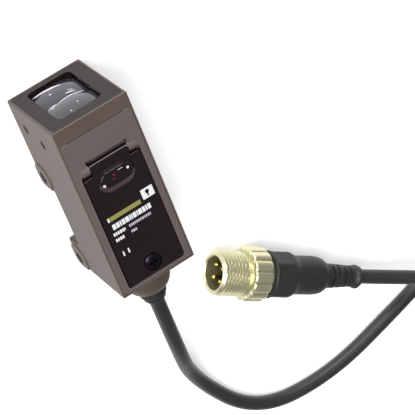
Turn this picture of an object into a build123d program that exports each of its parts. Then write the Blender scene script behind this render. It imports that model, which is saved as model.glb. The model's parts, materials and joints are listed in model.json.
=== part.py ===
from build123d import *
import math
import os

os.makedirs("parts", exist_ok=True)

# Compact metal photoelectric sensor with a short lead and a round screw-on plug.
# It lies on its back: X is across the label, +Y points to the lens end, +Z is up
# out of the label. The origin is on the back face, in the middle of the head.
# Places along the housing are given as a depth behind the lens end.

# ---- driving dimensions, millimetres ----
BODY_W = 21.0  # across the label
BODY_L = 50.0  # lens end to cable end
BODY_D = 26.3  # back to label face
LENS_Y = 12.5  # Y of the lens end
WALL = 1.6
EDGE_R = 0.4
RUNNING = 0.05  # radial clearance of whatever turns in a bore

HEAD_BACK = 24.9  # the back is full depth down to here
FOOT_BACK = 42.3  # and again from here
BACK_STEP = 6.3  # depth of the recess between them
LUG_R = 2.7

MOUNT_R = 1.6  # clearance for M3
MOUNT_Z = 3.0
MOUNT_PITCH = 25.4
MOUNT_1 = 22.1
PAD_R = 4.0  # machined pad round each mounting hole
PAD_UP = 0.25
TAP_R = 1.25  # drilled for M3
TAPS = [(6.3, 5.9), (7.4, 14.9)]  # depth, height
TAP_L = 3.2  # through the wall and its boss

RIM = 0.6  # metal left round the window
WINDOW_T = 1.5
LENS_W = 12.4
LENS_H = 19.3
LENS_Z = 12.0
LENS_PITCH = 9.6
LENS_DOME_R = 24.0

COVER_TOP = 4.05  # depth at which the cover plate starts
COVER_END = 49.2
COVER_HALF = 9.95
COVER_BOTTOM = BODY_D - 3.0
SEAT_Z = COVER_BOTTOM - 0.4  # the cover's gasket lies between these

DOOR_HALF = 8.0
DOOR_TOP = 15.4
DOOR_END = 47.9
DOOR_UNDER = BODY_D - 1.3
DOOR_GAP = 0.32
WELL_Z = DOOR_UNDER - 0.4  # floor of the recess below the door

HINGE_AT = 13.4  # depth of the door's axis
HINGE_Z = BODY_D - 1.0
KNUCKLE_R = 0.95
KNUCKLE_HALF = 5.3
EAR_R = 1.35
EAR_IN = 5.6
EAR_OUT = 7.6
HINGE_PIN_R = 0.45

BULGE_AT = 18.5
BULGE_L = 10.4
BULGE_W = 6.4
BULGE_H = 0.9
BULGE_SLOPE = 35.0  # degrees that its sides lean in
BULGE_WALL = 0.75

KNOB_X = 2.6
KNOB_AT = 18.5
KNOB_R = 1.6
SPINDLE_R = 1.0
INDICATORS = {"red_indicator": 17.2, "green_indicator": 19.8}
INDICATOR_R = 0.6

SCREW_AT = 44.8
SCREW_R = 1.25  # M2.5
SCREW_HEAD_R = 2.1
INSERT_R = 2.3

BOARD_Z = 14.0
BOARD_T = 1.0
BOARD_TOP = BOARD_Z + BOARD_T
POST_AT = [26.2, 37.6]  # depths of the cover screws
POST_X = 5.2

CABLE_R = 2.0
CABLE_Z = 15.3
BOSS_R = 6.2
BOSS_END = 58.3
BOSS_STRAIGHT = 4.2  # length before its round shoulder
BOSS_DOME_R = 4.6
GLAND_R = 3.0
GROMMET_IN = 52.0
GROMMET_END = 61.8

# plug, measured back from its nose
THREAD_R = 6.0  # M12
THREAD_L = 8.8
RING_END = 14.6
RING_R = 7.3
GRIPS = 14
PLUG_BORE_R = 4.5
CONTACT_CIRCLE_R = 2.5
CONTACTS = 4
NECK_START = 14.95
NECK_END = 15.8
RELIEF_START = 34.2
RIBS = 4
PLUG_L = 46.0
PLUG_TURN = -35.0  # heading of the plug, nose to lead
PLUG_TAIL = (56.7, -84.1, RING_R)

# the lead from the grommet to the plug's tail, by hand
ON_FLOOR = CABLE_R + 0.02
ROUTE = [
    (0, LENS_Y - GROMMET_END, CABLE_Z),
    (0, -65.0, 15.2),
    (4.0, -86.5, ON_FLOOR),
    (17.0, -107.8, ON_FLOOR),
    (40.5, -111.0, ON_FLOOR),
    (66.0, -104.2, ON_FLOOR),
    (90.0, -96.0, ON_FLOOR),
    (109.5, -90.5, ON_FLOOR),
    (127.0, -96.5, ON_FLOOR),
    (134.0, -113.0, ON_FLOOR),
    (126.0, -130.0, ON_FLOOR),
    (107.0, -135.0, ON_FLOOR),
    (91.5, -123.0, 2.8),
    (85.3, -104.3, 10.1),
    (73.0, -94.0, 10.1),
    (63.66, -88.98, RING_R),
    PLUG_TAIL,
]


# ---- helpers ----
def y_at(depth):
    return LENS_Y - depth


def block(x0, x1, depth0, depth1, z0, z1):
    """A box between two X, two depths and two heights."""
    size = Box(x1 - x0, depth1 - depth0, z1 - z0)
    return Pos((x0 + x1) / 2, y_at((depth0 + depth1) / 2), (z0 + z1) / 2) * size


def both(shape):
    """The shape and its mirror image across the middle plane."""
    return shape + mirror(shape, about=Plane.YZ)


def rod_x(depth, z, r, x0, x1):
    return Pos((x0 + x1) / 2, y_at(depth), z) * Rot(0, 90, 0) * Cylinder(r, x1 - x0)


def rod_y(x, z, r, depth0, depth1):
    middle = Pos(x, y_at((depth0 + depth1) / 2), z)
    return middle * Rot(90, 0, 0) * Cylinder(r, depth1 - depth0)


def rod_z(x, depth, r, z0, z1):
    return Pos(x, y_at(depth), (z0 + z1) / 2) * Cylinder(r, z1 - z0)


def cone_z(x, depth, r0, r1, z0, z1):
    return Pos(x, y_at(depth), (z0 + z1) / 2) * Cone(r0, r1, z1 - z0)


def tile_y(w, h, z, depth0, depth1, r):
    """A round-cornered plate that faces the lens end."""
    plane = Plane(origin=(0, y_at(depth0), z), x_dir=(1, 0, 0), z_dir=(0, -1, 0))
    return extrude(plane * RectangleRounded(w, h, r), depth1 - depth0)


def tile_z(half, depth0, depth1, z0, z1, r):
    """A round-cornered plate that faces up."""
    outline = RectangleRounded(2 * half, depth1 - depth0, r)
    return Pos(0, y_at((depth0 + depth1) / 2), z0) * extrude(outline, z1 - z0)


def stadium(l, w, z0, z1, slope=0):
    """A long round plate over the adjusters, facing up, whose sides may lean in."""
    return Pos(0, y_at(BULGE_AT), z0) * extrude(SlotOverall(l, w), z1 - z0, taper=slope)


def turned(*profile):
    """A solid of revolution about Z from an outline of radius and height."""
    return revolve(Plane.XZ * make_face(Polyline(*profile, close=True)), Axis.Z)


def edges_at(shape, depth, z):
    """The edges along X that pass through a depth and a height."""
    return [
        edge
        for edge in shape.edges().filter_by(Axis.X)
        if abs(edge.center().Y - y_at(depth)) < 0.02 and abs(edge.center().Z - z) < 0.02
    ]


def away_from_lens(depth, x=0, z=CABLE_Z):
    """A place whose Z runs out of the cable end."""
    return Pos(x, y_at(depth), z) * Rot(90, 0, 0)


pieces = {}


# ---- housing: one casting with a recess across its back and a cable boss ----
def blank(half):
    """The casting's side outline, rounded at its corners, as wide as asked."""
    side = Polyline(
        (y_at(0), 0),
        (y_at(HEAD_BACK), 0),
        (y_at(HEAD_BACK), BACK_STEP),
        (y_at(FOOT_BACK), BACK_STEP),
        (y_at(FOOT_BACK), 0),
        (y_at(BODY_L), 0),
        (y_at(BODY_L), BODY_D),
        (y_at(0), BODY_D),
        close=True,
    )
    solid = extrude(Plane.YZ * make_face(side), half, both=True)
    for depth, z, r in [
        (HEAD_BACK, 0, LUG_R),
        (BODY_L, 0, LUG_R),
        (FOOT_BACK, 0, 0.6),
        (HEAD_BACK, BACK_STEP, 1.0),
        (FOOT_BACK, BACK_STEP, 1.0),
        (BODY_L, BODY_D, 0.8),
    ]:
        solid = fillet(edges_at(solid, depth, z), r)
    return solid


housing = blank(BODY_W / 2)
flanks = housing.faces().filter_by(Axis.X).sort_by(Axis.X)
housing = fillet(flanks[0].edges() + flanks[-1].edges(), EDGE_R)

# the boss is a short cylinder that ends in a round shoulder
boss_l = BOSS_END - BODY_L
sweep_up = math.asin((boss_l - BOSS_STRAIGHT) / BOSS_DOME_R)


def shoulder(angle):
    """A point on the boss's round shoulder, as radius and height."""
    return (
        BOSS_R - BOSS_DOME_R * (1 - math.cos(angle)),
        BOSS_STRAIGHT + BOSS_DOME_R * math.sin(angle),
    )


boss_outline = [
    Polyline(
        shoulder(sweep_up), (0, boss_l), (0, -0.6), (BOSS_R, -0.6), (BOSS_R, BOSS_STRAIGHT)
    ),
    ThreePointArc(shoulder(0), shoulder(sweep_up / 2), shoulder(sweep_up)),
]
boss = revolve(Plane.XZ * make_face(boss_outline), Axis.Z)
housing += away_from_lens(BODY_L) * boss
housing -= rod_y(0, CABLE_Z, GLAND_R, BODY_L - WALL - 0.1, BOSS_END + 1)

# window seat, lens opening, head cavity, board cavity and cover seat
seat_w, seat_h = BODY_W - 2 * RIM + 0.1, BODY_D - 2 * RIM + 0.1
housing -= tile_y(seat_w, seat_h, BODY_D / 2, -1, 2.1, 0.9)
housing -= tile_y(14.4, 20.8, LENS_Z, 1.9, 4.0, 1.5)
cavity = BODY_W / 2 - WALL
housing -= block(-cavity, cavity, 3.7, 18.0, 2.2, SEAT_Z)
housing -= block(-cavity, cavity, 17.9, BODY_L - WALL, BACK_STEP + WALL, SEAT_Z)
housing -= tile_z(
    COVER_HALF + 0.06, COVER_TOP - 0.06, COVER_END + 0.06, SEAT_Z, BODY_D + 1, 1.05
)

# tapped bosses, through holes with their pads, cover-screw posts, board ledges
for depth, z in TAPS:
    housing += both(rod_x(depth, z, 2.6, BODY_W / 2 - TAP_L, cavity + 0.3))
    housing -= rod_x(depth, z, TAP_R, -BODY_W, BODY_W)
for depth in (MOUNT_1, MOUNT_1 + MOUNT_PITCH):
    pad = rod_x(depth, MOUNT_Z, PAD_R, BODY_W / 2 - 0.5, BODY_W / 2 + PAD_UP)
    housing += both(pad & blank(BODY_W))
    housing -= rod_x(depth, MOUNT_Z, MOUNT_R, -BODY_W, BODY_W)
for depth in POST_AT:
    housing += both(block(3.4, cavity + 0.2, depth - 1.9, depth + 1.9, 7.0, SEAT_Z))
    housing -= both(rod_z(POST_X, depth, 0.85, 14.6, SEAT_Z + 1))
for depth in (17.0, 32.5):
    housing += both(block(8.0, cavity + 0.2, depth, depth + 4, 12.6, BOARD_Z))
pieces["housing"] = housing

# ---- window, its seal, and the optics behind it ----
window = tile_y(BODY_W - 2 * RIM, BODY_D - 2 * RIM, BODY_D / 2, 0.1, 0.1 + WINDOW_T, 0.85)
window -= tile_y(LENS_W, LENS_H, LENS_Z, -0.5, 3, 1.5)
pieces["window"] = window
window_seal = tile_y(19.4, 24.7, BODY_D / 2, 1.6, 2.1, 0.8)
window_seal -= tile_y(16.6, 21.6, LENS_Z, 1.4, 2.3, 1.2)
pieces["window_seal"] = window_seal

lens_height = [LENS_Z - LENS_PITCH / 2, LENS_Z + LENS_PITCH / 2]
lens = tile_y(14.0, 20.4, LENS_Z, 1.65, 3.1, 1.4)
raised = tile_y(LENS_W - 0.4, LENS_H - 0.4, LENS_Z, 0, 1.8, 1.3)
for z in lens_height:
    ball = Pos(0, y_at(0.6 + LENS_DOME_R), z) * Sphere(LENS_DOME_R)
    lens += raised & block(-7, 7, 0, 2, z - 4.65, z + 4.65) & ball
pieces["lens_block"] = lens
holder = tile_y(13.6, 19.2, LENS_Z, 3.1, 11.4, 1.0)
for z in lens_height:
    holder -= block(-5.6, 5.6, 3.0, 9.8, z - 4.1, z + 4.1)
    holder -= rod_y(0, z, 1.7, 9.5, 11.6)
pieces["optics_holder"] = holder
pieces["optics_board"] = block(-7.0, 7.0, 11.4, 12.2, 2.6, 21.8)
pieces["emitter"] = rod_y(0, lens_height[0], 1.6, 9.9, 11.4)
chip = lens_height[1]
pieces["receiver"] = block(-1.15, 1.15, 10.4, 11.4, chip - 1.15, chip + 1.15)
shield = block(-5.2, 5.2, 12.2, 14.2, 11.2, 21.0)
shield -= block(-4.9, 4.9, 12.0, 13.9, 11.5, 20.7)
pieces["receiver_shield"] = shield

# ---- cover plate with the door well, hinge ears, slot and adjuster holes ----
cover = tile_z(COVER_HALF, COVER_TOP, COVER_END, COVER_BOTTOM, BODY_D, 1.0)
cover = chamfer(cover.faces().sort_by(Axis.Z)[-1].edges(), 0.15)
cover -= tile_z(
    DOOR_HALF + DOOR_GAP, 13.9, DOOR_END + DOOR_GAP, WELL_Z, BODY_D + 1, 0.8
)
cover -= block(-5.92, 5.92, 10.8, DOOR_TOP, HINGE_Z - 1.3, BODY_D + 1)
cover += both(rod_x(HINGE_AT, HINGE_Z, EAR_R, EAR_IN, EAR_OUT))
cover += both(
    block(EAR_IN, EAR_OUT, HINGE_AT - EAR_R, HINGE_AT + EAR_R, HINGE_Z - 1.5, HINGE_Z)
)
pin_end = EAR_OUT - 0.2
cover -= both(rod_x(HINGE_AT, HINGE_Z, HINGE_PIN_R, EAR_IN - 1, pin_end))
pocket_z = WELL_Z - 0.65
cover += rod_z(0, SCREW_AT, INSERT_R + 1.1, 18.8, COVER_BOTTOM + 0.2)
cover -= rod_z(0, SCREW_AT, 2.75, pocket_z, WELL_Z + 0.5)
cover -= rod_z(0, SCREW_AT, INSERT_R, 19.2, pocket_z + 0.1)
cover -= both(rod_z(KNOB_X, KNOB_AT, KNOB_R + RUNNING, COVER_BOTTOM - 1, BODY_D))
for depth in INDICATORS.values():
    cover -= rod_z(0, depth, INDICATOR_R + 0.05, COVER_BOTTOM - 1, BODY_D)
for depth in POST_AT:
    cover -= both(rod_z(POST_X, depth, 1.1, COVER_BOTTOM - 1, WELL_Z))
    cover -= both(cone_z(POST_X, depth, 1.1, 2.0, WELL_Z - 0.9, WELL_Z))
pieces["cover_plate"] = cover
cover_seal = tile_z(9.85, 4.2, 49.05, SEAT_Z, COVER_BOTTOM, 0.9)
cover_seal -= tile_z(9.0, 4.9, 48.3, SEAT_Z - 1, COVER_BOTTOM + 1, 0.6)
pieces["cover_seal"] = cover_seal
insert = rod_z(0, SCREW_AT, INSERT_R, 19.2, pocket_z)
pieces["screw_insert"] = insert - rod_z(0, SCREW_AT, SCREW_R + 0.4, 19.8, pocket_z + 1)
corners = [(x, depth) for depth in POST_AT for x in (-POST_X, POST_X)]
for number, (x, depth) in enumerate(corners, 1):
    screw = cone_z(x, depth, 1.0, 1.8, WELL_Z - 0.9, WELL_Z - 0.1)
    screw += rod_z(x, depth, 0.8, 15.5, WELL_Z - 0.8)
    for a, b in ((1.2, 0.2), (0.2, 1.2)):
        screw -= block(x - a, x + a, depth - b, depth + b, WELL_Z - 0.6, WELL_Z)
    pieces[f"cover_screw_{number}"] = screw

# ---- door, hinge pins and door seal ----
door = tile_z(DOOR_HALF, DOOR_TOP, DOOR_END, DOOR_UNDER, BODY_D, 0.6)
door = fillet(door.faces().sort_by(Axis.Z)[-1].edges(), 0.25)
knuckle_end = DOOR_TOP + 0.6
door += block(
    -KNUCKLE_HALF, KNUCKLE_HALF, HINGE_AT, knuckle_end, DOOR_UNDER, BODY_D - 0.06
)
door += rod_x(HINGE_AT, HINGE_Z, KNUCKLE_R, -KNUCKLE_HALF, KNUCKLE_HALF)
door += stadium(BULGE_L, BULGE_W, BODY_D - 0.3, BODY_D, 0)
bulge = stadium(BULGE_L, BULGE_W, BODY_D, BODY_D + BULGE_H, BULGE_SLOPE)
door += fillet(bulge.faces().sort_by(Axis.Z)[-1].edges(), 0.25)
inner_l, inner_w = BULGE_L - 2 * BULGE_WALL, BULGE_W - 2 * BULGE_WALL
door -= stadium(inner_l, inner_w, DOOR_UNDER - 0.5, BODY_D + BULGE_H - 0.65)
pin_hole = rod_x(HINGE_AT, HINGE_Z, HINGE_PIN_R + RUNNING, 3.6, KNUCKLE_HALF + 0.1)
door -= both(pin_hole)
head_seat = DOOR_UNDER + 0.65
door -= rod_z(0, SCREW_AT, SCREW_HEAD_R + 0.35, head_seat, BODY_D + 1)
door -= rod_z(0, SCREW_AT, SCREW_R + RUNNING, DOOR_UNDER - 1, BODY_D)
pieces["door"] = door
hinge_pin = rod_x(HINGE_AT, HINGE_Z, HINGE_PIN_R, 3.8, pin_end)
pieces["hinge_pin_right"] = hinge_pin
pieces["hinge_pin_left"] = mirror(hinge_pin, about=Plane.YZ)
door_seal = tile_z(7.7, 23.2, 41.3, WELL_Z, DOOR_UNDER - 0.1, 0.6)
door_seal -= tile_z(6.9, 24.0, 40.5, WELL_Z - 1, DOOR_UNDER, 0.4)
for x, depth in corners:
    door_seal -= rod_z(x, depth, 2.05, WELL_Z - 1, DOOR_UNDER)
pieces["door_seal"] = door_seal

# ---- captive screw of the door ----
head = turned(
    (0, 0),
    (SCREW_HEAD_R, 0),
    (SCREW_HEAD_R, 0.55),
    (SCREW_HEAD_R - 0.3, 0.8),
    (SCREW_HEAD_R - 0.9, 1.0),
    (0, 1.08),
)
head_z = head_seat + 0.05
door_screw = Pos(0, y_at(SCREW_AT), head_z) * head
door_screw += rod_z(0, SCREW_AT, SCREW_R, BODY_D - 5.1, head_z + 0.1)
for a, b in ((1.35, 0.28), (0.28, 1.35)):
    door_screw -= block(-a, a, SCREW_AT - b, SCREW_AT + b, head_z + 0.5, BODY_D + 2)
pieces["door_screw"] = door_screw
clip = rod_z(0, SCREW_AT, 2.3, DOOR_UNDER - 0.6, DOOR_UNDER - 0.1)
pieces["screw_clip"] = clip - rod_z(0, SCREW_AT, SCREW_R, WELL_Z - 1, BODY_D)

# ---- adjusters and indicators below the bulge ----
knob_top = BODY_D - 0.7
knob = rod_z(KNOB_X, KNOB_AT, KNOB_R, 20.6, knob_top)
knob += rod_z(KNOB_X, KNOB_AT, SPINDLE_R, 16.4, 20.7)
knob -= block(
    KNOB_X - 1.25, KNOB_X + 1.25, KNOB_AT - 0.3, KNOB_AT + 0.3, knob_top - 0.7, BODY_D
)
pieces["mode_knob"] = knob
pieces["sensitivity_knob"] = mirror(knob, about=Plane.YZ)
switch = block(1.2, 5.9, KNOB_AT - 3.0, KNOB_AT + 3.0, BOARD_TOP, 20.0)
switch -= rod_z(KNOB_X, KNOB_AT, SPINDLE_R + RUNNING, 16.0, 21)
pieces["mode_switch"] = switch
pieces["potentiometer"] = mirror(switch, about=Plane.YZ)
dome_z = BODY_D - 1.6
for name, depth in INDICATORS.items():
    light = rod_z(0, depth, INDICATOR_R, BOARD_TOP, dome_z)
    pieces[name] = light + Pos(0, y_at(depth), dome_z) * Sphere(INDICATOR_R)

# ---- main board and what is soldered to it ----
board = block(-8.4, 8.4, 14.9, 43.6, BOARD_Z, BOARD_TOP)
for depth in POST_AT:
    board -= both(block(3.1, 9, depth - 2.2, depth + 2.2, BOARD_Z - 1, BOARD_TOP + 1))
pieces["main_board"] = board
pieces["board_link"] = block(6.2, 7.0, 12.2, 16.6, BOARD_TOP, BOARD_TOP + 1.0)
for name, x0, x1, depth0, depth1, h in [
    ("signal_chip", -2.5, 2.5, 28.5, 33.5, 1.1),
    ("output_transistor", -7.4, -4.2, 29.5, 33.5, 1.3),
    ("voltage_regulator", -1.6, 1.6, 35.2, 37.2, 0.9),
    ("inductor", 4.4, 7.6, 29.0, 32.0, 2.0),
    ("capacitor_1", -7.6, -5.2, 40.4, 42.8, 1.9),
    ("capacitor_2", 5.2, 7.6, 40.4, 42.8, 1.9),
]:
    pieces[name] = block(x0, x1, depth0, depth1, BOARD_TOP, BOARD_TOP + h)

# ---- cable entry ----
boss_face = BOSS_END - GROMMET_IN
grommet_l = GROMMET_END - GROMMET_IN
grommet = turned(
    (CABLE_R, 0),
    (GLAND_R, 0),
    (GLAND_R, boss_face),
    (3.4, boss_face),
    (3.4, boss_face + 1.2),
    (3.05, grommet_l - 0.5),
    (2.6, grommet_l),
    (CABLE_R, grommet_l),
)
pieces["cable_grommet"] = away_from_lens(GROMMET_IN) * grommet
clamp = block(-4.5, 4.5, 46.2, 48.2, CABLE_Z - 4.4, CABLE_Z + 3.2)
pieces["cable_clamp"] = clamp - rod_y(0, CABLE_Z, CABLE_R, 45, 49)
pieces["cable_tail"] = rod_y(0, CABLE_Z, CABLE_R, 44.6, GROMMET_END)
for name, x in (("wire_brown", -1.1), ("wire_blue", 0), ("wire_black", 1.1)):
    pieces[name] = rod_y(x, BOARD_TOP + 0.47, 0.45, 40.6, 44.6)

# ---- plug ----
heading = math.radians(PLUG_TURN)
nose = (
    PLUG_TAIL[0] - PLUG_L * math.cos(heading),
    PLUG_TAIL[1] - PLUG_L * math.sin(heading),
    RING_R,
)
at_plug = Pos(*nose) * Rot(0, 0, PLUG_TURN) * Rot(0, 90, 0)
ring = turned(
    (PLUG_BORE_R, 0.3),
    (THREAD_R - 0.7, 0),
    (THREAD_R, 0.7),
    (THREAD_R, THREAD_L),
    (RING_R - 0.6, THREAD_L),
    (RING_R, THREAD_L + 0.6),
    (RING_R, RING_END - 0.7),
    (RING_R - 0.7, RING_END),
    (PLUG_BORE_R, RING_END),
)
for k in range(GRIPS):
    groove = Cylinder(0.8, RING_END - THREAD_L + 1)
    spot = Pos(RING_R + 0.4, 0, (THREAD_L + RING_END) / 2)
    ring -= Rot(0, 0, 360 * (k + 0.5) / GRIPS) * spot * groove
pieces["coupling_ring"] = at_plug * ring
carrier = turned(
    (0, 7.6),
    (4.1, 7.6),
    (4.1, 8.4),
    (3.6, 8.4),
    (3.6, 9.2),
    (4.1, 9.2),
    (4.1, 10.2),
    (PLUG_BORE_R - RUNNING, 10.2),
    (PLUG_BORE_R - RUNNING, 13.8),
    (4.1, 13.8),
    (4.1, NECK_START),
    (0, NECK_START),
)
pieces["contact_carrier"] = at_plug * carrier
pieces["plug_oring"] = at_plug * (Pos(0, 0, 8.8) * Torus(4.0, 0.4))
for k in range(CONTACTS):
    contact = turned((0, 1.2), (0.3, 1.2), (0.5, 1.6), (0.5, 7.6), (0, 7.6))
    angle = 45 + 360 * k / CONTACTS
    spot = Rot(0, 0, angle) * Pos(CONTACT_CIRCLE_R, 0, 0)
    pieces[f"contact_pin_{k + 1}"] = at_plug * spot * contact
pieces["plug_neck"] = at_plug * turned(
    (0, NECK_START),
    (5.5, NECK_START),
    (5.5, NECK_END),
    (0, NECK_END),
)
pieces["plug_body"] = at_plug * turned(
    (0, NECK_END),
    (5.9, NECK_END),
    (6.4, NECK_END + 0.7),
    (6.4, 21.6),
    (6.2, 22.6),
    (5.3, 24.4),
    (5.2, 25.0),
    (5.2, 30.6),
    (4.9, 32.0),
    (4.1, 33.4),
    (3.4, RELIEF_START),
    (0, RELIEF_START),
)
relief = [(0, RELIEF_START), (3.35, RELIEF_START)]
rib_l = (PLUG_L - 2.4 - RELIEF_START) / RIBS
for k in range(RIBS):
    start = RELIEF_START + k * rib_l
    r = 3.35 - 0.12 * k
    relief += [
        (r, start + rib_l - 0.75),
        (r - 0.5, start + rib_l - 0.65),
        (r - 0.5, start + rib_l - 0.1),
        (r - 0.12, start + rib_l),
    ]
relief += [(2.9, PLUG_L - 2.3), (2.9, PLUG_L - 0.4), (2.6, PLUG_L), (0, PLUG_L)]
pieces["strain_relief"] = at_plug * turned(*relief)

# ---- lead: straight runs joined by tangent arcs ----
points = [Vector(*p) for p in ROUTE]
runs = [b - a for a, b in zip(points, points[1:])]
radii = []
for before, after in zip(runs, runs[1:]):
    turn = math.radians(before.get_angle(after))
    radii.append(0.45 * min(before.length, after.length) / math.tan(turn / 2))
path = FilletPolyline(*points, radius=radii)
section = Plane(origin=path @ 0, z_dir=path % 0) * Circle(CABLE_R)
cable = sweep(section, path=path)
pieces["cable"] = cable
print("runs", [round(run.length, 1) for run in runs])
print("radii", [round(r, 1) for r in radii])
print("lead length", round(path.length, 1))
print("lead volume", round(cable.volume))
print("section times length", round(math.pi * CABLE_R**2 * path.length))

# ---- one file for each piece ----
for name, shape in pieces.items():
    export_step(shape, f"parts/{name}.step")
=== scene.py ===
# %% [markdown]
# # A small photoelectric sensor and its plugged lead
#
# The sensor is a painted metal block that lies on its back. Its lens end holds a smoked
# window with two clear lenses. Its label side holds a dark hinged door over the adjusters.
# A short lead runs from the other end to a round screw-on plug.
#
# The engineering model is loaded first and never changed. This file gives every part its
# finish, and it rebuilds the parts whose fine shape matters to the eye: the lead, the plug,
# the lenses, the grommet and the print on the door.

# %% The frame
import json
import math

import bmesh
import bpy
import numpy as np
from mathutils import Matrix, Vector


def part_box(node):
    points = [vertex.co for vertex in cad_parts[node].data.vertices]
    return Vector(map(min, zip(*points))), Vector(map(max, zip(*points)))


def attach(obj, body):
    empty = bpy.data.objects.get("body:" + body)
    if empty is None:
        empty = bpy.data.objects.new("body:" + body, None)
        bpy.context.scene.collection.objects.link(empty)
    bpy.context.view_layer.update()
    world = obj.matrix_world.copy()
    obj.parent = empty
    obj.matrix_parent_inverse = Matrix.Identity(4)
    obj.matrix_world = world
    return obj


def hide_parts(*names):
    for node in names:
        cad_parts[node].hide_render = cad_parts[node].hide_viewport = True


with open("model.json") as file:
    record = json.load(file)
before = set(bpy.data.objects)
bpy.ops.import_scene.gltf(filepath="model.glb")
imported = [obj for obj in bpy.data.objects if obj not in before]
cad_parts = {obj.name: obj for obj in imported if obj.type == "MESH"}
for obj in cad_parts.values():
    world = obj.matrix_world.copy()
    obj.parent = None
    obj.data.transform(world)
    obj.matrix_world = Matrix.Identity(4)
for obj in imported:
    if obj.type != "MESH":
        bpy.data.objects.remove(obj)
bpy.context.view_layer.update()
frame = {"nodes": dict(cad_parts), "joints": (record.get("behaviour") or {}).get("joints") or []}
scene = bpy.context.scene
MM = 0.001
joints = {joint["name"]: joint for joint in frame["joints"]}

# %% [markdown]
# ## Camera
#
# A long lens stands behind and above the lens end and looks down at the label. A long lens
# keeps the block's edges nearly parallel, as in a product catalogue. The camera is placed by
# its position and its three turns, because the whole set is rolled to one side.

# %% Camera
CAMERA_AT = (-0.13037, 0.26862, 0.48361)
CAMERA_TURNS = (-23.05, -28.33, -21.46)
lens = bpy.data.cameras.new("catalogue_lens")
lens.lens = 199.1
lens.sensor_width = 36.0
lens.clip_start = 0.01
camera = bpy.data.objects.new("camera", lens)
camera.location = CAMERA_AT
camera.rotation_euler = [math.radians(turn) for turn in CAMERA_TURNS]
scene.collection.objects.link(camera)
scene.camera = camera
print("camera stands", round(camera.location.length, 2), "m from the origin")

# %% [markdown]
# ## The lead's route
#
# A lead is a fixed length of something stiff. It comes straight out of the grommet, falls to
# the table, swings round in one wide bend, makes a loop past the view's edge and climbs
# over itself to reach the plug, which lies on its knurled ring. Its centre line is a smooth
# spline with these listed points as its control points.

# %% The lead
LEAD_DIAMETER = 0.004
ROUTE = [
    (0, -0.0493, 0.0153),
    (0, -0.0650, 0.0152),
    (0.0040, -0.0865, 0.00202),
    (0.0170, -0.1078, 0.00202),
    (0.0405, -0.1110, 0.00202),
    (0.0660, -0.1042, 0.00202),
    (0.0900, -0.0960, 0.00202),
    (0.1095, -0.0905, 0.00202),
    (0.1270, -0.0965, 0.00202),
    (0.1340, -0.1130, 0.00202),
    (0.1260, -0.1300, 0.00202),
    (0.1070, -0.1350, 0.00202),
    (0.0915, -0.1230, 0.0028),
    (0.0853, -0.1043, 0.0101),
    (0.0730, -0.0940, 0.0101),
    (0.06366, -0.08898, 0.0073),
    (0.0567, -0.0841, 0.0073),
]


def spline_curve(name, points):
    """A smooth curve: one spline of third order, whose ends are the first and last point."""
    curve = bpy.data.curves.new(name, "CURVE")
    curve.dimensions = "3D"
    spline = curve.splines.new("NURBS")
    spline.points.add(len(points) - 1)
    for point, spot in zip(spline.points, points):
        point.co = (*spot, 1.0)
    spline.order_u = 3
    spline.use_endpoint_u = True
    spline.resolution_u = 16
    curve.resolution_u = 16
    piece = bpy.data.objects.new(name, curve)
    scene.collection.objects.link(piece)
    return piece


lead = spline_curve("lead", ROUTE)
lead.data.bevel_depth = LEAD_DIAMETER / 2
lead.data.bevel_resolution = 6
lead.data.use_fill_caps = True
print("lead's route has", len(ROUTE), "control points")

# %% [markdown]
# ## Tools for shapes
#
# Most new parts are surfaces worked out as whole arrays. A grid of points, rows by columns,
# becomes a skin of four-sided faces. Where a row shrinks to one point the skin closes, and
# doubled points are merged. Edges sharper than a set angle stay crisp.


# %% Shape tools
def skin(name, points, wrap_rows=False, wrap_columns=True, crisp=35):
    """A piece whose faces join neighbouring points of a grid, points[row, column]."""
    rows, columns = points.shape[:2]
    index = np.arange(rows * columns).reshape(rows, columns)
    if wrap_rows:
        index = np.vstack([index, index[:1]])
    if wrap_columns:
        index = np.hstack([index, index[:, :1]])
    corners = (index[:-1, :-1], index[:-1, 1:], index[1:, 1:], index[1:, :-1])
    faces = np.stack(corners, axis=-1).reshape(-1, 4)
    return sealed(name, points.reshape(-1, 3), faces.tolist(), crisp)


def sealed(name, points, faces, crisp=35):
    """A piece from points and faces: doubles merged, faces turned outwards, edges marked."""
    mesh = bpy.data.meshes.new(name)
    mesh.from_pydata(np.asarray(points, float).tolist(), [], faces)
    shape = bmesh.new()
    shape.from_mesh(mesh)
    bmesh.ops.remove_doubles(shape, verts=shape.verts, dist=1e-7)
    bmesh.ops.recalc_face_normals(shape, faces=shape.faces)
    shape.to_mesh(mesh)
    shape.free()
    mesh.polygons.foreach_set("use_smooth", [True] * len(mesh.polygons))
    mesh.set_sharp_from_angle(angle=math.radians(crisp))
    piece = bpy.data.objects.new(name, mesh)
    scene.collection.objects.link(piece)
    return piece


def smooth_step(low, high, value):
    """0 below low and 1 above high, with a soft S between them."""
    t = np.clip((value - low) / (high - low), 0, 1)
    return t * t * (3 - 2 * t)


def rounded_profile(corners, radius, steps=6):
    """An outline of (distance, radius) corners with each inner corner turned into an arc."""
    corners = np.array(corners, float)
    out = [corners[0]]
    for before, corner, after in zip(corners, corners[1:], corners[2:]):
        to_before, to_after = before - corner, after - corner
        reach = min(radius, 0.45 * np.hypot(*to_before), 0.45 * np.hypot(*to_after))
        start = corner + to_before / np.hypot(*to_before) * reach
        end = corner + to_after / np.hypot(*to_after) * reach
        for t in np.linspace(0, 1, steps):
            out.append((1 - t) ** 2 * start + 2 * t * (1 - t) * corner + t * t * end)
    out.append(corners[-1])
    return np.array(out)


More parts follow.
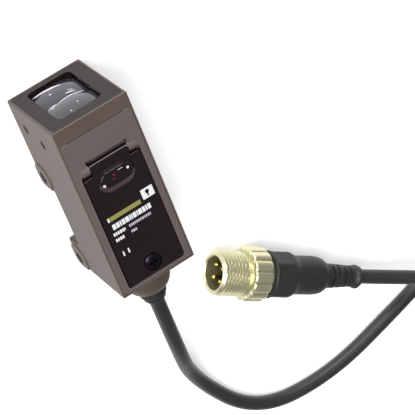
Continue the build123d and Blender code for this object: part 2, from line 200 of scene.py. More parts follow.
def about_axis(start, axis, along, radius, angle):
    """Points at a distance along an axis, a radius from it and an angle round it from up."""
    axis = np.array(axis, float)
    side = np.cross(axis, (0, 0, 1))
    side /= np.linalg.norm(side)
    up = np.cross(side, axis)
    ring = np.cos(angle)[..., None] * up + np.sin(angle)[..., None] * side
    return np.array(start) + along[..., None] * axis + radius[..., None] * ring


def place(piece, material, body, *replaced):
    """Gives a piece its finish, makes it ride on a body and hides the parts it stands for."""
    piece.data.materials.clear()
    piece.data.materials.append(material)
    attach(piece, body)
    if replaced:
        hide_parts(*replaced)
    return piece


# %% [markdown]
# ## Tools for finishes
#
# Colours are written as the hex codes that a paint chart uses, and one function turns them
# to the linear values that the shader works in. One small function adds a node with its
# settings and links. Every pattern is sized in millimetres.


# %% Finish tools
def colour(code):
    """Linear red, green, blue and alpha of an sRGB hex code, by the sRGB curve."""
    parts = [int(code[i : i + 2], 16) / 255 for i in (1, 3, 5)]
    linear = [p / 12.92 if p <= 0.04045 else ((p + 0.055) / 1.055) ** 2.4 for p in parts]
    return (*linear, 1.0)


def add(tree, kind, inputs=None, **settings):
    """Adds one node, with its settings, and its inputs as values or as outputs to link."""
    node = tree.nodes.new(kind)
    for key, value in settings.items():
        setattr(node, key, value)
    for key, value in (inputs or {}).items():
        if isinstance(value, bpy.types.NodeSocket):
            tree.links.new(value, node.inputs[key])
        else:
            node.inputs[key].default_value = value
    return node


def blank_material(name):
    """An empty node tree, and its Object coordinates."""
    material = bpy.data.materials.new(name)
    material.use_nodes = True
    tree = material.node_tree
    tree.nodes.clear()
    spot = add(tree, "ShaderNodeTexCoord").outputs["Object"]
    return material, tree, spot


def shade(tree, height=None, bump_mm=0.02, **sockets):
    """The surface shader, with a relief of a real height in millimetres."""
    inputs = {key.replace("_", " "): value for key, value in sockets.items()}
    if height is not None:
        bump = add(
            tree,
            "ShaderNodeBump",
            {"Height": height, "Distance": bump_mm * MM, "Strength": 1.0},
        )
        inputs["Normal"] = bump.outputs["Normal"]
    shader = add(tree, "ShaderNodeBsdfPrincipled", inputs)
    add(tree, "ShaderNodeOutputMaterial", {"Surface": shader.outputs["BSDF"]})
    return shader


EDGE_WEAR_MM = 0.22


def worn_edges(tree, tone, worn):
    """Lightens a colour where the normal, rounded off within a short reach, leans over."""
    bevel = add(tree, "ShaderNodeBevel", {"Radius": EDGE_WEAR_MM * MM}, samples=4)
    flat = add(tree, "ShaderNodeNewGeometry").outputs["Normal"]
    lean = add(
        tree,
        "ShaderNodeVectorMath",
        {0: bevel.outputs["Normal"], 1: flat},
        operation="DOT_PRODUCT",
    )
    mask = add(
        tree,
        "ShaderNodeMapRange",
        {"Value": lean.outputs["Value"], "From Min": 0.99, "From Max": 0.80},
    )
    mixed = {0: mask.outputs["Result"], 6: tone, 7: colour(worn)}
    return add(tree, "ShaderNodeMix", mixed, data_type="RGBA").outputs[2]


def grained(name, dark, light, cloud_mm, grain_mm, rough, bump_mm, worn=None, **sockets):
    """A surface with slow clouds of two close colours and a fine grain in gloss and relief."""
    material, tree, spot = blank_material(name)
    cloud = add(
        tree,
        "ShaderNodeTexNoise",
        {"Vector": spot, "Scale": 1000 / cloud_mm, "Detail": 3.0, "Roughness": 0.6},
    )
    grain = add(
        tree,
        "ShaderNodeTexNoise",
        {"Vector": spot, "Scale": 1000 / grain_mm, "Detail": 2.0, "Roughness": 0.5},
    )
    blend = add(
        tree,
        "ShaderNodeMix",
        {0: cloud.outputs["Fac"], 6: colour(dark), 7: colour(light)},
        data_type="RGBA",
    )
    gloss = add(
        tree,
        "ShaderNodeMapRange",
        {"Value": grain.outputs["Fac"], "To Min": rough[0], "To Max": rough[1]},
    )
    tone = blend.outputs[2]
    if worn:
        tone = worn_edges(tree, tone, worn)
    shade(
        tree,
        grain.outputs["Fac"],
        bump_mm,
        Base_Color=tone,
        Roughness=gloss.outputs["Result"],
        **sockets,
    )
    return material


# %% [markdown]
# ## Enamelled zinc
#
# The housing and its cover are zinc die castings with a stoved satin enamel. The enamel
# gives a soft wide highlight, a faint orange-peel and a warm grey that drifts a little.

# %% Enamelled zinc
housing_enamel = grained(
    "enamelled_zinc_casting", "#4B4039", "#534840", 7, 0.35, (0.42, 0.55), 0.006,
    worn="#75695F", Specular_IOR_Level=0.25,
)
cover_enamel = grained(
    "enamelled_zinc_cover", "#544A48", "#5D5351", 6, 0.35, (0.42, 0.54), 0.006,
    worn="#7F7475", Specular_IOR_Level=0.35,
)

# %% [markdown]
# ## Smoked acrylic and clear lenses
#
# The window is cast acrylic dyed so dark a smoke grey that only its polish shows. The two
# lenses are clear acrylic with a faint violet cast. Their moulded beads carry a painted
# glint: a light colour that stands in for the lamps' reflection, so they stay bright from every
# side.

# %% Optical finishes
smoked_window = grained(
    "smoked_acrylic", "#170E0E", "#1E1414", 9, 0.8, (0.08, 0.14), 0.0005, IOR=1.49,
    Specular_IOR_Level=0.14,
)
clear_lens = grained(
    "clear_acrylic", "#4B4650", "#5A5560", 8, 0.8, (0.03, 0.07), 0.0005,
    IOR=1.49, Transmission_Weight=0.72,
)
# Painted glint: the beads get a light, near-white colour that stands in for the lamps' reflection
# on them.
painted_glint_acrylic = grained(
    "clear_acrylic_painted_glint", "#B4B0BA", "#CAC6D0", 2, 0.3, (0.10, 0.2), 0.002,
    IOR=1.49, Coat_Weight=0.6, Coat_Roughness=0.05,
)

# %% [markdown]
# ## Door, knobs and lights
#
# The door is smoked polycarbonate, so dark that it looks black with a plum cast. The knobs
# are white nylon, and the lights are tinted light pipes.

# %% Door and knob finishes
smoked_door = grained(
    "smoked_polycarbonate", "#10060A", "#16080E", 8, 0.5, (0.14, 0.22), 0.001,
    IOR=1.585, Specular_IOR_Level=0.35,
)
white_nylon = grained(
    "white_nylon", "#D6D3C9", "#E2DFD6", 3, 0.2, (0.45, 0.6), 0.004
)
red_pipe = grained(
    "red_acrylic_pipe", "#A01018", "#C01820", 2, 0.4, (0.08, 0.15), 0.001, IOR=1.49
)
green_pipe = grained(
    "green_acrylic_pipe", "#1E8A34", "#28A040", 2, 0.4, (0.08, 0.15), 0.001, IOR=1.49
)

# %% [markdown]
# ## Rubber and moulded plastics
#
# Nitrile rubber is matt and almost black. The lead's jacket is dark PVC drawn through a
# die, so it has a dull gloss. The plug is overmoulded in
# polyurethane with a spark-eroded, finely pitted skin.

# %% Rubber and plastic finishes
# Nitrile rubber; the same black also paints the shade in the cover's top seam.
black_rubber_and_painted_seam_shade = grained(
    "nitrile_rubber_and_painted_seam_shade", "#100E0E", "#1A1716", 2.5, 0.2, (0.55, 0.75), 0.008
)
lead_jacket = grained(
    "pvc_jacket", "#221F21", "#2C282A", 6, 0.3, (0.36, 0.50), 0.006
)
overmould = grained(
    "polyurethane_overmould", "#171815", "#22231E", 4, 0.25, (0.42, 0.62), 0.012
)
neck_grey = grained(
    "grey_polyamide", "#4A4A42", "#57574E", 3, 0.2, (0.4, 0.55), 0.005
)
optics_black = grained(
    "black_polycarbonate", "#151517", "#1E1E20", 4, 0.25, (0.45, 0.65), 0.006
)
dark_grey_plastic = grained(
    "dark_grey_polyamide", "#3A3A3C", "#454548", 3, 0.25, (0.45, 0.6), 0.006
)
chip_black = grained(
    "epoxy_package", "#1C1C1F", "#262629", 2, 0.12, (0.5, 0.65), 0.004
)
emitter_epoxy = grained(
    "red_tinted_epoxy", "#8E2620", "#A5302A", 2, 0.3, (0.06, 0.12), 0.001, IOR=1.55
)
receiver_epoxy = grained(
    "infrared_epoxy", "#1E1B28", "#28242F", 2, 0.3, (0.08, 0.15), 0.001, IOR=1.55
)
wire_finishes = {
    "wire_brown": grained("brown_pvc", "#5A3A22", "#66442A", 2, 0.2, (0.3, 0.42), 0.003),
    "wire_blue": grained("blue_pvc", "#25509A", "#2F5EAC", 2, 0.2, (0.3, 0.42), 0.003),
    "wire_black": grained("black_pvc", "#161616", "#202020", 2, 0.2, (0.3, 0.42), 0.003),
}

# %% [markdown]
# ## Circuit board
#
# A board is green solder mask over copper. The copper shows as slightly lighter and
# slightly raised bands, here the crests of one wave pattern whose lines wander a little.

# %% Circuit board
BAND_PITCH_MM = 5 * math.pi
WAVE_RADIANS = 20


def solder_mask():
    """Green lacquer, lighter and raised over copper bands about 5 mm wide. The wave node
    turns by 20 radians for each unit of its scaled place, so one band comes each pitch."""
    material, tree, spot = blank_material("solder_mask")
    scale = math.tau * 1000 / (WAVE_RADIANS * BAND_PITCH_MM)
    wave = {"Vector": spot, "Scale": scale, "Distortion": 2.0}
    tracks = add(tree, "ShaderNodeTexWave", wave, bands_direction="X")
    edge = {"Value": tracks.outputs["Fac"], "From Min": 0.72, "From Max": 0.8}
    band = add(tree, "ShaderNodeMapRange", edge).outputs["Result"]
    mixed = {0: band, 6: colour("#0E5A32"), 7: colour("#2C8450")}
    tint = add(tree, "ShaderNodeMix", mixed, data_type="RGBA")
    shade(tree, band, 0.03, Base_Color=tint.outputs[2], Roughness=0.3)
    return material


board_green = solder_mask()
print("copper bands every", round(BAND_PITCH_MM, 1), "mm")

# %% [markdown]
# ## Metals
#
# Turned brass has a pale yellow plating. Screws are zinc plated, the door's screw is black oxide,
# the contacts carry a gold flash and the shield is tin plate. Metals differ in tint and in how
# they scatter.

# %% Metal finishes
plated_brass = grained(
    "pale_plated_brass", "#C8C39B", "#E8E5C8", 2.2, 0.25, (0.32, 0.46), 0.006,
    Metallic=1.0,
)
plain_brass = grained(
    "turned_brass", "#B8964E", "#CDAE66", 2, 0.2, (0.22, 0.34), 0.004, Metallic=1.0
)
gold_flash = grained(
    "gold_flash", "#D9B45A", "#E6C673", 2, 0.2, (0.15, 0.24), 0.002, Metallic=1.0
)
zinc_plate = grained(
    "zinc_plate", "#A9ABAD", "#BFC1C3", 2, 0.15, (0.25, 0.40), 0.003, Metallic=1.0
)
tin_plate = grained(
    "tin_plate", "#B4B4B0", "#C6C6C2", 3, 0.2, (0.22, 0.36), 0.004, Metallic=1.0
)
aluminium_can = grained(
    "drawn_aluminium", "#BFC0C2", "#CDCED0", 3, 0.2, (0.2, 0.32), 0.003, Metallic=1.0
)
black_oxide = grained(
    "black_oxide_steel", "#26222E", "#34303E", 1.6, 0.15, (0.22, 0.36), 0.004,
    Metallic=1.0,
)
print(len(bpy.data.materials), "materials in the file so far")

# %% [markdown]
# ## Finishes of the engineering parts
#
# Parts whose worked-out shape is already right keep it and only take a finish.

# %% Engineering parts
FINISH_OF = {
    "housing": housing_enamel,
    "cover_plate": cover_enamel,
    "window": smoked_window,
    "door": smoked_door,
    "door_screw": black_oxide,
    "screw_clip": optics_black,
    "screw_insert": plain_brass,
    "optics_holder": optics_black,
    "emitter": emitter_epoxy,
    "receiver": receiver_epoxy,
    "receiver_shield": tin_plate,
    "optics_board": board_green,
    "main_board": board_green,
    "board_link": optics_black,
    "mode_knob": white_nylon,
    "sensitivity_knob": white_nylon,
    "mode_switch": dark_grey_plastic,
    "potentiometer": dark_grey_plastic,
    "red_indicator": red_pipe,
    "green_indicator": green_pipe,
    "cable_clamp": tin_plate,
    "cable_tail": lead_jacket,
    "contact_carrier": optics_black,
    **wire_finishes,
}
for finish, parts in {
    black_rubber_and_painted_seam_shade: ("window_seal", "cover_seal", "door_seal", "plug_oring"),
    chip_black: ("signal_chip", "output_transistor", "voltage_regulator", "inductor"),
    aluminium_can: ("capacitor_1", "capacitor_2"),
    zinc_plate: ["hinge_pin_left", "hinge_pin_right"] + [f"cover_screw_{k}" for k in range(1, 5)],
    gold_flash: [f"contact_pin_{k}" for k in range(1, 5)],
}.items():
    FINISH_OF.update(dict.fromkeys(parts, finish))
for part, finish in FINISH_OF.items():
    mesh = frame["nodes"][part].data
    mesh.materials.clear()
    mesh.materials.append(finish)
print(len(FINISH_OF), "engineering parts finished")

# %% [markdown]
# ## Grommet
#
# The rubber grommet is turned: a flange against the boss, then a taper to a rounded lip
# round the lead. It is an outline carried round the lead's exit.

# %% Grommet
LEAD_EXIT_Z = ROUTE[0][2]
GROMMET_BORE_R, GROMMET_STEM_R, FLANGE_R, FLANGE_THICK = 2.0, 3.0, 3.55, 1.5
TAPER_R, LIP_R, LIP_LENGTH = 3.2, 2.95, 0.6
grommet_low, grommet_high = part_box("cable_grommet")
housing_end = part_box("housing")[0].y
inner_end = np.array((0.0, grommet_high.y, LEAD_EXIT_Z))
grommet_length = (grommet_high.y - grommet_low.y) / MM
in_boss = (grommet_high.y - housing_end) / MM
flange_end = in_boss + FLANGE_THICK
GROMMET = [
    (0, GROMMET_BORE_R), (0, GROMMET_STEM_R), (in_boss, GROMMET_STEM_R),
    (in_boss, FLANGE_R), (flange_end, FLANGE_R), (flange_end + 0.4, TAPER_R),
    (grommet_length - LIP_LENGTH, LIP_R), (grommet_length, 2.5), (grommet_length, 2.02),
    (0, GROMMET_BORE_R),
]
outline = rounded_profile(GROMMET, 0.35)
turns = np.linspace(0, math.tau, 96, endpoint=False)
along, turn = np.meshgrid(outline[:, 0], turns, indexing="ij")
radius = np.repeat(outline[:, 1:2], len(turns), axis=1)
points = about_axis(inner_end, (0, -1, 0), along * MM, radius * MM, turn)
grommet = skin("lead_grommet", points)
place(grommet, black_rubber_and_painted_seam_shade, "sensor", "cable_grommet")
print("grommet stands", round(grommet_length - in_boss, 1), "mm out of the boss")

# %% [markdown]
# ## Plug: the threaded coupling nut
#
# One brass part carries the M12 thread and the knurled ring. The thread is a helix: at each
# angle the tooth has moved along by that share of the 1 mm pitch. The ring has broad
# rounded grips with narrow valleys between them. Thread, ring and bore are one closed skin
# of rows along the axis, whose radius depends on the distance from the nose and the angle.

# %% Coupling nut
THREAD_R, PITCH, TOOTH = 6.0, 1.0, 0.55
CREST, FLANK, RUN_IN = 1.25, 3.0, (0.2, 1.0)
NOSE_R, NOSE_SLOPE, UNDERCUT_AT, THREAD_END = 5.2, 0.85, 7.9, 8.75
RING_START, RING_END, RING_R, GRIPS = 8.8, 14.6, 7.3, 14
VALLEY_DEPTH, VALLEY_POWER, ROLLED_R = 0.65, 0.35, 0.9
BORE_ROWS, BORE_RADII = (RING_END, 14.3, 0.35, 0.0), (4.8, 4.5, 4.5, 4.75)
NUT_COLUMNS = 252
spin = joints["coupling_ring_spin"]
plug_axis = np.array(spin["axis"], float)
plug_axis /= np.linalg.norm(plug_axis)
ring_middle = (RING_START + RING_END) / 2
plug_nose = np.array(spin["pos_m"]) - plug_axis * ring_middle * MM


def thread_radius(along, turn):
    """A tooth that rises and falls once a pitch, with straight flanks and a flat crest. It
    is cut back to a cone at the nose and ends in a plain undercut before the ring."""
    phase = (along / PITCH - turn / math.tau) % 1
    tooth = np.clip(CREST - np.abs(phase - 0.5) * FLANK, 0, 1)
    radius = THREAD_R - TOOTH * (1 - tooth) * smooth_step(*RUN_IN, along)
    radius = np.minimum(radius, NOSE_R + along * NOSE_SLOPE)
    undercut = smooth_step(UNDERCUT_AT, UNDERCUT_AT + 0.3, along)
    return radius * (1 - undercut) + (THREAD_R - TOOTH) * undercut


def ring_radius(along, turn):
    """Grips like rounded bars: a sine raised to a low power leaves only narrow valleys
    between them, and both ends are rolled over by a quarter circle."""
    lobe = np.abs(np.sin(GRIPS * turn / 2)) ** VALLEY_POWER
    radius = RING_R - VALLEY_DEPTH * (1 - lobe)
    for end in (RING_START, RING_END):
        short = ROLLED_R - np.clip(np.abs(along - end), 0, ROLLED_R)
        radius -= ROLLED_R - np.sqrt(ROLLED_R**2 - short**2)
    return radius


def bore_radius(along, turn):
    """A straight bore with a small chamfer at each end."""
    return np.interp(along, BORE_ROWS[::-1], BORE_RADII[::-1])


turns = np.linspace(0, math.tau, NUT_COLUMNS, endpoint=False)
thread_rows = np.linspace(0, THREAD_END, 140)
ring_share = (1 - np.cos(np.linspace(0, math.pi, 34))) / 2
ring_rows = RING_START + (RING_END - RING_START) * ring_share
stretches = []
for rows, radius_at in (
    (thread_rows, thread_radius),
    (ring_rows, ring_radius),
    (BORE_ROWS, bore_radius),
):
    along, turn = np.meshgrid(rows, turns, indexing="ij")
    stretches.append((along * MM, radius_at(along, turn) * MM, turn))
points = about_axis(plug_nose, plug_axis, *map(np.vstack, zip(*stretches)))
coupling_nut = skin("coupling_nut", points, wrap_rows=True, crisp=32)
place(coupling_nut, plated_brass, "plug_ring", "coupling_ring")
print("coupling nut", len(coupling_nut.data.polygons), "faces")

# %% [markdown]
# ## Plug: neck, overmould and strain relief
#
# Behind the nut a grey neck shows, then the black overmould: a thick grip with eight flats,
# a shoulder and a slimmer barrel that rounds off into the strain relief. The relief is a
# tapered sleeve cut by staggered slots, which lets it bend, and it ends in a raised collar.

# %% Neck, overmould and strain relief
ROW_STEP = 0.16
GRIP_FLATS, FLAT_R, FLATS_START, FLATS_END = 8, 6.02, (16.4, 17.2), (21.0, 23.6)
SLOT_STARTS, SLOT_WIDTH, SLOT_RAMP, SLOT_DEPTH = (35.6, 37.6, 39.6, 41.4), 0.75, 0.18, 0.75
COLLAR_AT, COLLAR_REACH = 44.4, 0.9
# Points nearer the axis than this belong to the sleeve's closed ends.
SLEEVE_END_R = 2.2


def turned_piece(name, corners, round_off, shape=None):
    """An outline of (distance, radius) corners, rounded off, divided into short rows and
    carried round the plug's axis. A shape function may then change each radius by angle."""
    outline = rounded_profile(corners, round_off)
    fine = [outline[0]]
    for start, end in zip(outline, outline[1:]):
        pieces = max(1, int(np.hypot(*(end - start)) / ROW_STEP))
        fine += [start + (end - start) * k / pieces for k in range(1, pieces + 1)]
    fine = np.array(fine)
    turns = np.linspace(0, math.tau, 160, endpoint=False)
    along, turn = np.meshgrid(fine[:, 0], turns, indexing="ij")
    radius = np.repeat(fine[:, 1:2], len(turns), axis=1)
    if shape is not None:
        radius = shape(along, radius, turn)
    points = about_axis(plug_nose, plug_axis, along * MM, radius * MM, turn)
    return skin(name, points, crisp=40)


def grip_flats(along, radius, turn):
    """Eight shallow flats on the thick grip, fading out towards both of its ends."""
    half = math.pi / GRIP_FLATS
    away = (turn % (2 * half)) - half
    flat = FLAT_R / np.cos(away)
    share = smooth_step(*FLATS_START, along) * (1 - smooth_step(*FLATS_END, along))
    return radius + (np.minimum(radius, flat) - radius) * share


def relief_slots(along, radius, turn):
    """Four slots across the sleeve, each open on two opposite sides and turned by a quarter
    from the one before, and a raised collar. Both leave the closed ends alone."""
    on_skin = radius > SLEEVE_END_R
    out = radius.copy()
    for k, start in enumerate(SLOT_STARTS):
        end = start + SLOT_WIDTH
        cut = smooth_step(start, start + SLOT_RAMP, along)
        cut = cut * (1 - smooth_step(end, end + SLOT_RAMP, along))
        open_side = smooth_step(0.30, 0.45, np.abs(np.cos(turn + k * math.pi / 2)))
        out -= SLOT_DEPTH * cut * open_side * on_skin
    swell = np.exp(-(((along - COLLAR_AT) / COLLAR_REACH) ** 2))
    collar = swell * (0.35 + 0.45 * np.clip(np.cos(turn), 0, 1))
    return out + collar * on_skin


NECK = [(14.95, 0), (14.95, 5.5), (15.8, 5.5), (15.8, 0)]
neck = turned_piece("plug_neck_ring", NECK, 0.12)
place(neck, neck_grey, "sensor", "plug_neck")
BODY = [
    (15.8, 0), (15.8, 5.7), (16.3, 6.4), (21.5, 6.4), (22.8, 6.1), (24.4, 5.25),
    (26, 5.2), (30.6, 5.2), (32.6, 4.9), (34.2, 3.9), (34.2, 0),
]
body = turned_piece("plug_overmould", BODY, 0.9, grip_flats)
place(body, overmould, "sensor", "plug_body")
RELIEF = [(34.1, 0), (34.1, 3.45), (38, 3.2), (43, 2.85), (45.6, 2.75), (46.0, 2.4), (46.0, 0)]
relief = turned_piece("strain_relief_sleeve", RELIEF, 0.3, relief_slots)
place(relief, overmould, "sensor", "strain_relief")
print("plug from nose to tail", RELIEF[-1][0], "mm")

# %% The lead's finish
place(lead, lead_jacket, "sensor", "cable")

# %% [markdown]
# ## The twin lens
#
# Two domes share one moulding with a valley between them. Its front is a height over a
# round-cornered plate: rows across the plate are drawn in near the corners so that their
# ends follow the corner arcs. The flat back and the side walls close it. Small moulded
# beads follow the valley and the rims, and their glint is painted: a light colour stands in for a
# reflection.

# %% Twin lens
LENS_HALF_W, LENS_HALF_H, LENS_CORNER = 6.0, 9.45, 1.3
LENS_Z, LENS_PITCH, DOME_R = 12.0, 9.6, 24.0
CROWN_DEPTH, LENS_BACK = 0.6, 3.0
BEAD_ROWS, BEAD_COLUMNS = 41, 16
RIM_PROUD = 0.1
end_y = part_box("window")[1].y / MM + RIM_PROUD


def plate_rows(half_w, half_h, corner, rows, columns):
    """Points over a round-cornered plate, row by row from bottom to top, as x and z."""
    z = half_h * np.sin(np.linspace(-math.pi / 2, math.pi / 2, rows))
    over = np.clip(np.abs(z) - (half_h - corner), 0, corner)
    reach = half_w - corner + np.sqrt(corner**2 - over**2)
    across = np.sin(np.linspace(-math.pi / 2, math.pi / 2, columns))
    return reach[:, None] * across[None, :], np.repeat(z[:, None], columns, axis=1)


def dome_depth(x, z):
    """Depth behind the lens end of two equal spheres side by side."""
    from_centre = np.abs(z) - LENS_PITCH / 2
    return CROWN_DEPTH + DOME_R - np.sqrt(DOME_R**2 - x**2 - from_centre**2)


def bead(name, start, end, sag, width, height):
    """A moulded bead on the lens, whose light colour is a painted glint: a spindle along a
    bowed line from start to end, whose section is an ellipse and whose ends taper to points."""
    turns = np.linspace(0, math.tau, BEAD_COLUMNS, endpoint=False)
    share, turn = np.meshgrid(np.linspace(0, 1, BEAD_ROWS), turns, indexing="ij")
    x = start[0] + (end[0] - start[0]) * share
    z = start[1] + (end[1] - start[1]) * share - sag * np.sin(share * math.pi)
    swell = np.sqrt(np.clip(np.sin(share * math.pi), 0, 1))
    depth = dome_depth(x, z) - height * swell * np.sin(turn)
    z = z + width / 2 * swell * np.cos(turn)
    points = np.stack([x, end_y - depth, z + LENS_Z], axis=-1) * MM
    return place(skin(name, points), painted_glint_acrylic, "sensor")


def slab(name, front, back):
    """A closed slab: a front and a back over the same rows, as x, y and z in mm, and a strip
    of faces round the rim that joins them."""
    rows, columns = front[0].shape
    points = [np.stack(face, axis=-1).reshape(-1, 3) for face in (front, back)]
    index = np.arange(rows * columns).reshape(rows, columns)
    quads = np.stack([index[:-1, :-1], index[:-1, 1:], index[1:, 1:], index[1:, :-1]], -1)
    quads = quads.reshape(-1, 4)
    rim = np.concatenate(
        [index[0, :-1], index[:-1, -1], index[-1, :0:-1], index[:0:-1, 0]]
    )
    ahead = np.roll(rim, -1)
    side = np.stack([rim, rim + rows * columns, ahead + rows * columns, ahead], axis=-1)
    faces = np.vstack([quads, quads[:, ::-1] + rows * columns, side])
    return sealed(name, np.vstack(points) * MM, faces.tolist())


across, up = plate_rows(LENS_HALF_W, LENS_HALF_H, LENS_CORNER, 121, 81)
dome = (across, end_y - dome_depth(across, up), up + LENS_Z)
flat_back = (across, np.full_like(across, end_y - LENS_BACK), up + LENS_Z)
twin_lens = slab("twin_lens", dome, flat_back)
place(twin_lens, clear_lens, "sensor", "lens_block")

# Each bead's start and end as x and z from the lens's middle, then sag, width and height.
BEADS = [
    ((-5.4, -8.9), (2.4, -6.6), -0.15, 0.55, 0.30),
    ((-4.9, -8.3), (-2.4, -8.0), 0.0, 0.40, 0.25),
    ((-5.3, 0.2), (-2.4, 0.5), 0.0, 0.55, 0.3),
    ((-4.6, 1.2), (-3.5, 1.2), 0.0, 0.25, 0.15),
    ((-2.4, 0.5), (5.0, 0.7), 0.5, 0.34, 0.25),
    ((0.9, -1.7), (3.7, -1.0), 0.0, 0.28, 0.2),
    ((2.0, -2.6), (3.4, -1.9), 0.0, 0.22, 0.15),
    ((-4.9, 8.5), (-3.3, 8.7), 0.0, 0.50, 0.3),
    ((0.8, 8.5), (5.3, 8.3), 0.0, 0.18, 0.12),
    ((-2.1, -4.7), (-1.5, -4.6), 0.0, 0.55, 0.3),
    ((0.9, 5.2), (1.3, 5.3), 0.0, 0.42, 0.25),
    ((-2.1, 7.3), (-1.6, 7.4), 0.0, 0.55, 0.3),
]
# Painted glint: each bead is a small shape on the lens whose light colour stands in for a
# reflection.
for number, (start, end, sag, width, height) in enumerate(BEADS, 1):
    bead(f"lens_painted_glint_bead_{number}", start, end, sag, width, height)
print("twin lens", len(twin_lens.data.polygons), "faces and", len(BEADS), "beads")

# %% [markdown]
# ## Print on the door
#
# The door carries a thin white and olive print. It holds no lettering: words are drawn as
# plain bars of uneven length. Each bar is a round-cornered patch 0.02 mm proud of the door.
# A thin black rubber strip in the cover's top seam is one such patch too; it is painted shade
# that stands in for the shadow in the gap.

# %% Print
LABEL_Z = 26.3
PRINT_THICK = 0.02
ROUNDEST = 0.95
# The white of the print also paints two highlights on the bulge.
white_ink_and_painted_highlight = grained("white_ink", "#C9CACC", "#DCDDDF", 1.5, 0.12, (0.35, 0.5), 0.003)
print_lilac = grained("dimmed_white_ink", "#A49DAA", "#B8B1BD", 1.5, 0.12, (0.35, 0.5), 0.003)
print_olive = grained("olive_ink", "#77763F", "#8A8850", 1.5, 0.12, (0.35, 0.5), 0.003)
print_black = grained("black_ink", "#121013", "#1B181C", 1.5, 0.12, (0.35, 0.5), 0.003)
# Painted glint: this red stands in for the glint of the red indicator light under the door.
painted_indicator_glint_red = grained("red_painted_indicator_glint", "#6E1020", "#86182A", 1.0, 0.12, (0.2, 0.3), 0.003)


def patch(name, x0, x1, depth0, depth1, ink, level=0.0, corner=0.12, body="lid"):
    """A round-cornered patch on the label face, between two x and two depths, in mm."""
    half_w, half_l = (x1 - x0) / 2, (depth1 - depth0) / 2
    corner = min(corner, half_w * ROUNDEST, half_l * ROUNDEST)
    x, y = plate_rows(half_w, half_l, corner, 13, 9)
    x = x + (x0 + x1) / 2
    y = y + end_y - (depth0 + depth1) / 2
    top = (x, y, np.full_like(x, LABEL_Z + level + PRINT_THICK))
    foot = (x, y, np.full_like(x, LABEL_Z + level - PRINT_THICK))
    return place(slab(name, top, foot), ink, body)


patch("print_tile", 3.9, 7.25, 25.5, 28.3, white_ink_and_painted_highlight)
patch("print_tile_stem", 5.35, 5.75, 26.4, 27.9, print_black, 0.02)
patch("print_tile_dot", 5.0, 6.1, 26.0, 27.1, print_black, 0.02, corner=0.5)
patch("print_bar", -6.1, 3.1, 27.5, 28.7, print_olive)
patch("print_bar_end", -6.5, -6.1, 27.5, 28.7, white_ink_and_painted_highlight)
ROWS = {
    "bold": (29.7, 31.2, (-6.0, 5.2), (0.95, 0.8, 0.45, 0.85, 0.95, 0.4, 0.4, 0.8, 0.35), 0.17),
    "first_word": (32.0, 32.9, (-6.5, -3.1), (0.5, 0.4, 0.45, 0.6), 0.14),
    "first_value": (32.05, 32.8, (-2.0, 4.5), (0.4, 0.35, 0.5, 0.3, 0.45), 0.14),
    "second_word": (33.7, 34.6, (-6.5, -4.1), (0.5, 0.4, 0.55), 0.14),
    "second_value": (33.75, 34.5, (-2.0, -0.4), (0.35, 0.6), 0.14),
}
NARROWEST_BAR = 0.2
for row, (depth0, depth1, (start, stop), widths, gap) in ROWS.items():
    ink = print_lilac if row.endswith("value") else white_ink_and_painted_highlight
    at, count = start, 0
    while at < stop - NARROWEST_BAR:
        width = min(widths[count % len(widths)], stop - at)
        count += 1
        patch(f"print_{row}_{count}", at, at + width, depth0, depth1, ink)
        at += width + gap
# Painted shade: a thin black strip in the cover's top seam stands in for the shadow in the gap.
patch("seam_painted_shade_strip", -8.2, 8.0, 3.93, 4.11, black_rubber_and_painted_seam_shade, corner=0.08, body="sensor")
patch("print_mark_left", -6.2, -5.8, 37.7, 39.1, white_ink_and_painted_highlight, corner=0.18)
patch("print_mark_right", -4.7, -4.3, 37.6, 39.0, white_ink_and_painted_highlight, corner=0.18)
print("print on the door in", len(ROWS), "rows of bars, a tile, a bar and two marks")

# %% [markdown]
# ## On the bulge
#
# The door swells into a long round bulge over the adjusters. A paler band of painted light
# lies round its lower edge and stands in for the light that the edge gathers. Two white dots
# drawn on the bulge's flat top are painted highlights, two small red marks there are painted
# glints of the red indicator light, and a dash beside them is print.

# %% Bulge
BULGE_DEPTH, BULGE_HEIGHT, BULGE_HALF_STRAIGHT = 18.5, 0.9, 2.0
BAND_TAPER = 0.04
# The band's section: outline radius, how far its middle reaches inwards, and height.
BAND_SECTION = [
    (3.20, 0.0, 26.28), (3.23, 0.0, 26.34), (2.60, 0.0, 27.23),
    (2.60, 1.15, 27.23), (2.60, 1.15, 27.16), (2.55, 0.0, 27.12),
]
# Painted light: this paler plum stands in for light gathered at the bulge's lower edge.
painted_light_band_finish = grained("polycarbonate_painted_light_band", "#352930", "#43363D", 3, 0.4, (0.2, 0.3), 0.001)


def bulge_painted_light_band(name):
    """A thin band of painted light round the lower side of the bulge. Half a stadium outline
    is carried up the slope and then inwards over the top, by a width that falls to nothing at
    both ends."""
    half = np.linspace(0, 1, 121)
    angle = math.pi * (1 + half)
    shift = np.where(half < 0.5, -BULGE_HALF_STRAIGHT, BULGE_HALF_STRAIGHT)
    swell = np.sin(half * math.pi)
    rows = []
    for radius, inwards, z in BAND_SECTION:
        reach = radius - inwards * swell**0.7
        x = np.cos(angle) * reach + shift
        y = end_y - BULGE_DEPTH + np.sin(angle) * reach
        rows.append(np.stack([x, y, np.full_like(x, z)], axis=-1))
    rows = np.array(rows)
    middle = rows.mean(axis=0)
    thin = smooth_step(0, BAND_TAPER, half) * smooth_step(0, BAND_TAPER, 1 - half)
    points = (middle + (rows - middle) * thin[None, :, None]) * MM
    return place(skin(name, points, wrap_rows=True, wrap_columns=False), painted_light_band_finish, "lid")


def bulge_dot(name, x0, x1, depth0, depth1, ink, corner):
    """A patch on top of the bulge."""
    patch(name, x0, x1, depth0, depth1, ink, BULGE_HEIGHT, corner)


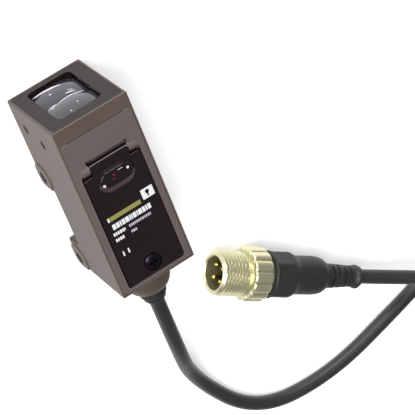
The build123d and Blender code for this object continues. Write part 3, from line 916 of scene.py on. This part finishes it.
band = bulge_painted_light_band("bulge_lower_edge_painted_light")
# Painted highlights: two white dots stand in for glints on the bulge. Painted glints: two red
# marks stand in for the red indicator light. The dash is print.
bulge_dot("bulge_painted_highlight_left", -4.4, -3.6, 18.4, 19.2, white_ink_and_painted_highlight, 0.38)
bulge_dot("bulge_painted_highlight_right", 2.85, 3.55, 17.1, 17.8, white_ink_and_painted_highlight, 0.34)
bulge_dot("scale_dash", 0.6, 2.0, 16.6, 16.8, print_lilac, 0.1)
bulge_dot("indicator_painted_glint_upper", -1.0, -0.45, 17.0, 17.55, painted_indicator_glint_red, 0.26)
bulge_dot("indicator_painted_glint_lower", -1.35, -0.9, 18.0, 18.45, painted_indicator_glint_red, 0.22)
print("band round the bulge", len(band.data.polygons), "faces")

# %% [markdown]
# ## Table and light
#
# The floor is a plain sheet of white acrylic, lit faintly from below as a product table
# is, so that shadows stay pale. One large soft lamp stands high on the left, so the
# left flank is the brightest side. A small low lamp in front of the lens end draws thin
# bright lines on whatever is rounded along the label's width, such as the hinge knuckle.

# %% Table and light
HALF_TABLE = 3.0
UNDER_THE_LEAD = 0.0002
floor_mesh = bpy.data.meshes.new("table")
floor_mesh.from_pydata(
    [
        (-HALF_TABLE, -HALF_TABLE, 0),
        (HALF_TABLE, -HALF_TABLE, 0),
        (HALF_TABLE, HALF_TABLE, 0),
        (-HALF_TABLE, HALF_TABLE, 0),
    ],
    [],
    [(0, 1, 2, 3)],
)
table = bpy.data.objects.new("table", floor_mesh)
scene.collection.objects.link(table)
table.location.z = -UNDER_THE_LEAD
table_white = grained(
    "lit_white_acrylic", "#F4F4F4", "#F7F7F7", 60, 2, (0.8, 0.9), 0.001,
    Emission_Color=colour("#FFFFFF"), Emission_Strength=0.30,
)
floor_mesh.materials.append(table_white)

studio = bpy.data.worlds.new("studio")
scene.world = studio
studio.use_nodes = True
room_light = studio.node_tree.nodes["Background"].inputs
room_light["Color"].default_value = (1.0, 1.0, 1.0, 1.0)
room_light["Strength"].default_value = 0.3


def lamp(name, place_at, aim_at, size, watts):
    """A rectangular soft lamp that faces a point."""
    light = bpy.data.lights.new(name, "AREA")
    light.shape = "RECTANGLE"
    light.size, light.size_y = size
    light.energy = watts
    piece = bpy.data.objects.new(name, light)
    piece.location = place_at
    away = Vector(place_at) - Vector(aim_at)
    piece.rotation_euler = away.to_track_quat("Z", "Y").to_euler()
    scene.collection.objects.link(piece)


lamp("left_lamp", (-0.46, 0.22, 0.80), (0, -0.02, 0.01), (0.6, 0.6), 10.0)
lamp("front_lamp", (0.10, 0.72, 0.38), (0, 0, 0.01), (0.5, 0.12), 4.0)
scene.view_settings.view_transform = "Standard"
print(len(bpy.data.lights), "lamps and a table", 2 * HALF_TABLE, "m across")
